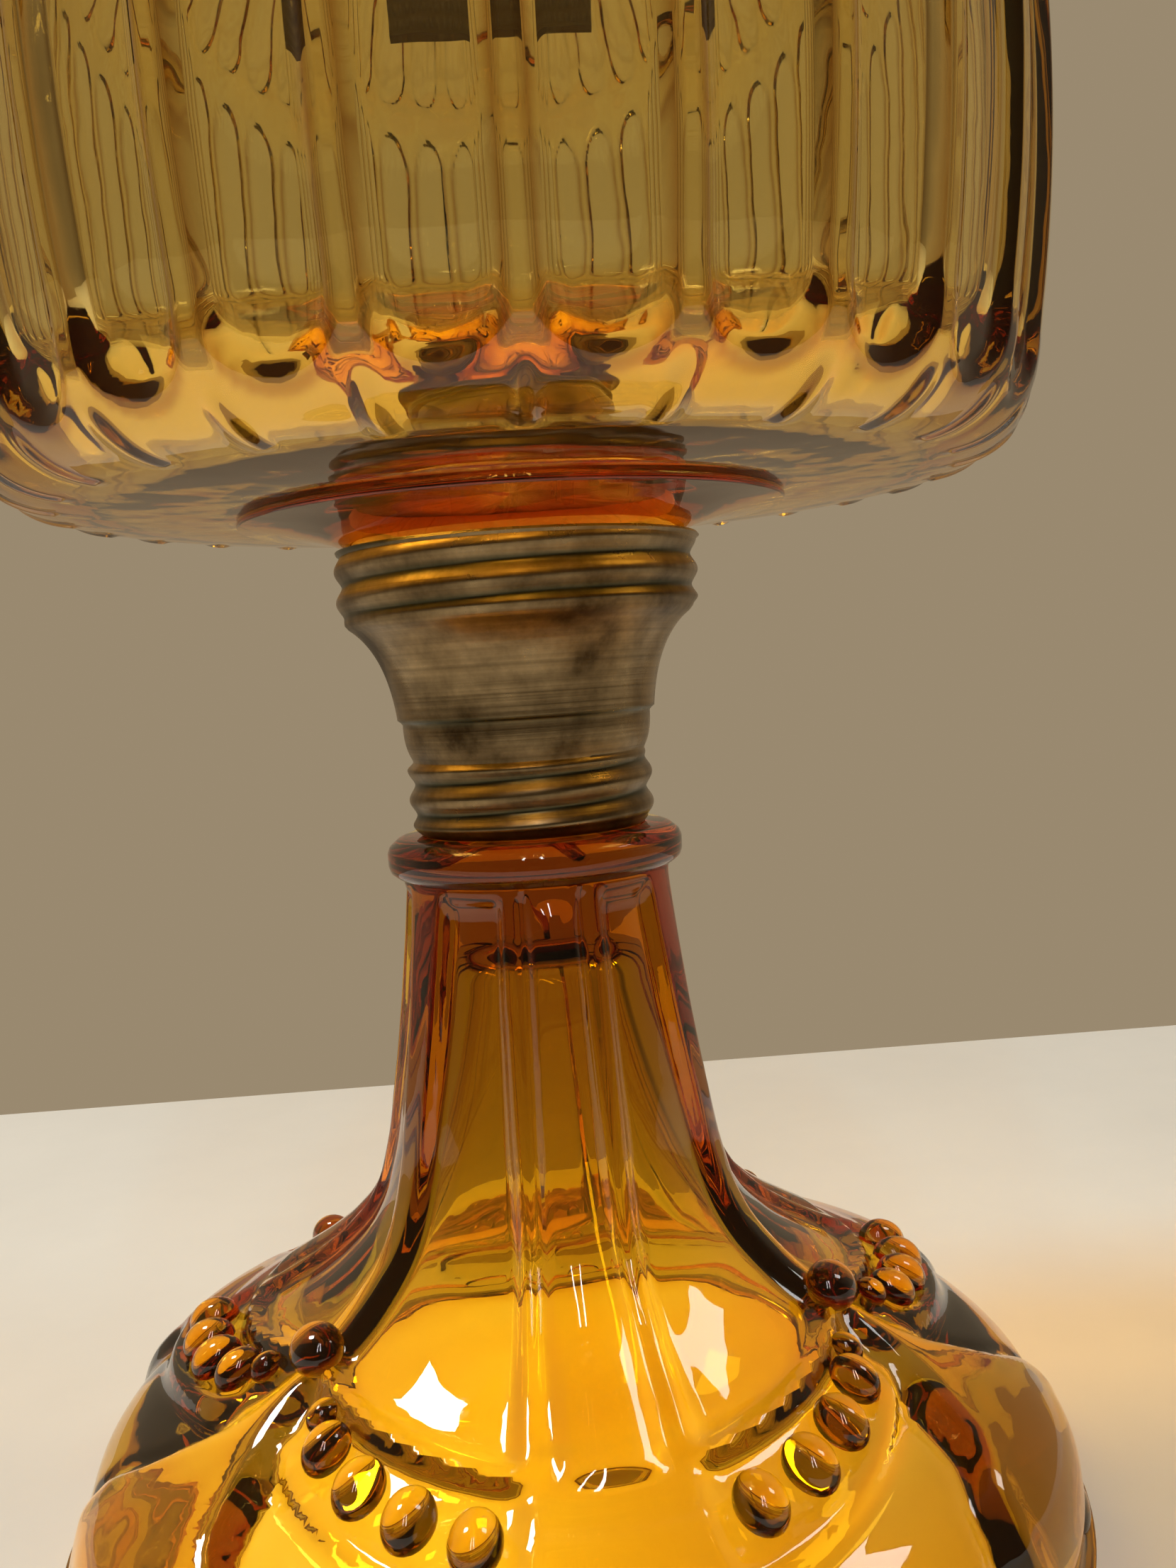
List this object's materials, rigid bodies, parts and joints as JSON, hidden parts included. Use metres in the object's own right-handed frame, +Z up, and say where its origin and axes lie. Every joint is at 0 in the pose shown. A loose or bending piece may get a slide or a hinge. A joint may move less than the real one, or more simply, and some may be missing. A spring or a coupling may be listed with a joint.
{
  "type": "oil lamp",
  "caption": "Table oil lamp: bell-shaped pressed-glass foot, spun brass connector, fluted glass font and a flat-wick burner whose thumb wheel raises the wick.",
  "frame": {"origin": "centre of the circle that the foot rests on, at table height", "axes": "+Z up along the lamp's axis, -Y to the front, where the foot's ribbon faces, +X to the side of the thumb wheel"},
  "size_m": [0.1232, 0.1232, 0.2475],
  "materials": {
    "amber_foot_glass": "pressed glass, deep orange amber",
    "honey_font_glass": "pressed glass, pale honey amber",
    "patinated_brass": "aged, dull brown patina with worn highlights",
    "burner_brass": "aged, satin",
    "steel_wire": "dull",
    "plaster": "matte plaster of Paris",
    "cotton_wick": "woven cotton"
  },
  "bodies": {
    "lamp": {"foot": "amber_foot_glass", "plaster_lower": "plaster", "connector": "patinated_brass", "plaster_upper": "plaster", "font": "honey_font_glass", "collar_plaster": "plaster", "collar": "burner_brass"},
    "burner": {"burner_base": "burner_brass", "air_basket": "burner_brass", "air_diaphragm": "burner_brass", "wick_tube": "burner_brass", "vent_tube": "burner_brass", "gallery_ring": "burner_brass", "chimney_prongs": "burner_brass", "deflector_cone": "burner_brass", "shaft_sleeve": "burner_brass"},
    "winder": {"wick_shaft": "steel_wire", "spur_wheels": "steel_wire", "wick_knob": "burner_brass"},
    "wick": {"wick": "cotton_wick"}
  },
  "joints": [
    {"name": "burner_lift", "type": "slide", "parent": "lamp", "child": "burner", "axis": [0, 0, 1], "range_m": [0, 0.06]},
    {"name": "winder_turn", "type": "hinge", "parent": "burner", "child": "winder", "pos_m": [0.042, -0.0051, 0.2207], "axis": [1, 0, 0], "range_deg": [-200, 120]},
    {"name": "wick_feed", "type": "slide", "parent": "burner", "child": "wick", "axis": [0, 0, 1], "range_m": [-0.0136, 0.0081]}
  ],
  "couplings": [
    {"joint": "winder_turn", "follows": "wick_feed", "rad_per_m": 256.41}
  ]
}
